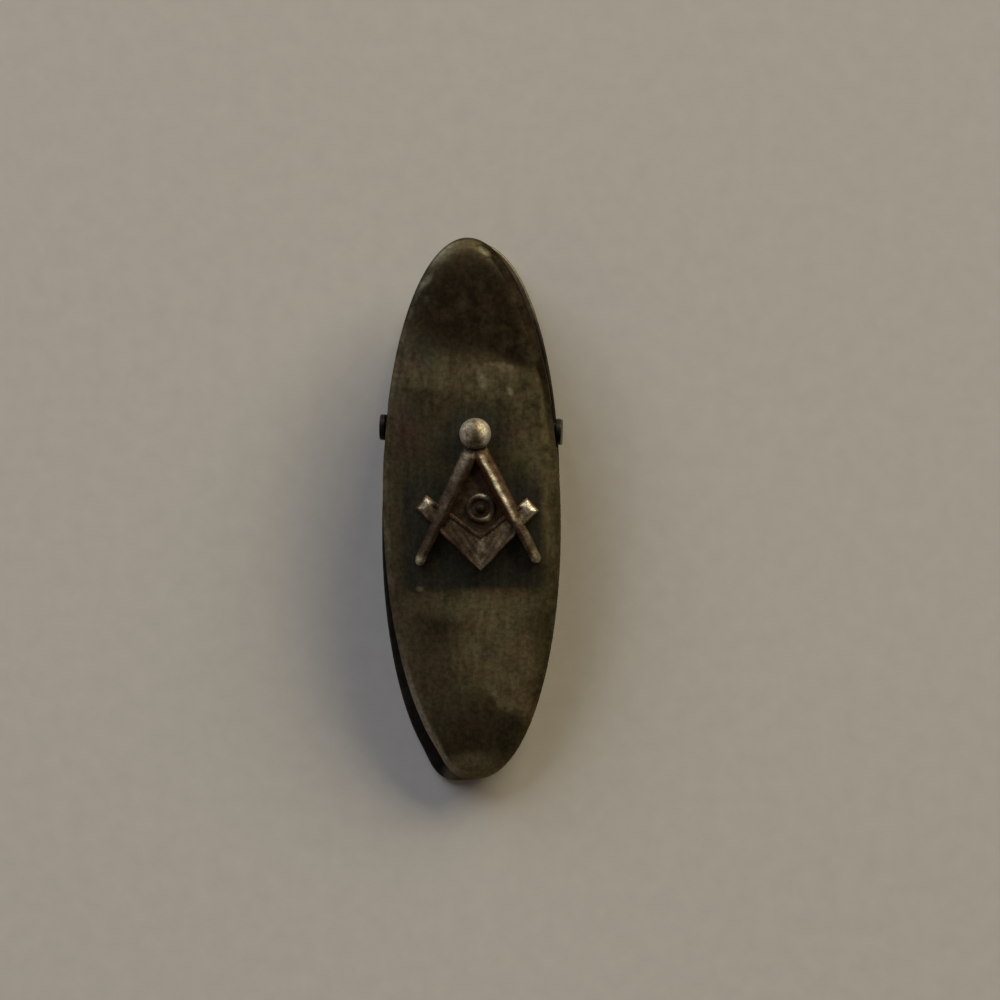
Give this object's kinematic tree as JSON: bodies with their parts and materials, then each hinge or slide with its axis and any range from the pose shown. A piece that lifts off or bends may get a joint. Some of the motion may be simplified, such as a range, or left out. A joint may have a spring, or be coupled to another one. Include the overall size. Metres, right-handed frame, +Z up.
{
  "type": "tie clip",
  "caption": "Domed oval tie clip with a square-and-compasses ornament, sprung and hinged to a flat oval back lever between two side ears.",
  "frame": {"origin": "on the table, under the middle of the clip as it lies on its back lever", "axes": "+X across the clip to the right of the picture, +Y along the clip from the jaw to the thumb end, +Z up from the lever to the emblem"},
  "size_m": [0.0128, 0.0381, 0.0075],
  "materials": {
    "plate": "domed sheet metal, dark olive-brown tarnish over old silver plate",
    "emblem": "cast, worn pale on the high points and brown in the recesses",
    "lever": "flat sheet metal, almost black tarnish",
    "pin": "drawn wire, dull",
    "spring": "spring wire, dull"
  },
  "bodies": {
    "back": {"lever": "lever", "hinge_pin": "pin", "spring": "spring"},
    "front": {"front_plate": "plate", "emblem": "emblem"}
  },
  "joints": [
    {"name": "clip_hinge", "type": "hinge", "parent": "back", "child": "front", "pos_m": [0, 0.0056, 0.00375], "axis": [-1, 0, 0], "range_deg": [0, 13], "stiffness_Nm_per_rad": 0.03, "springref_deg": -2.01, "deforming": ["spring"]}
  ]
}
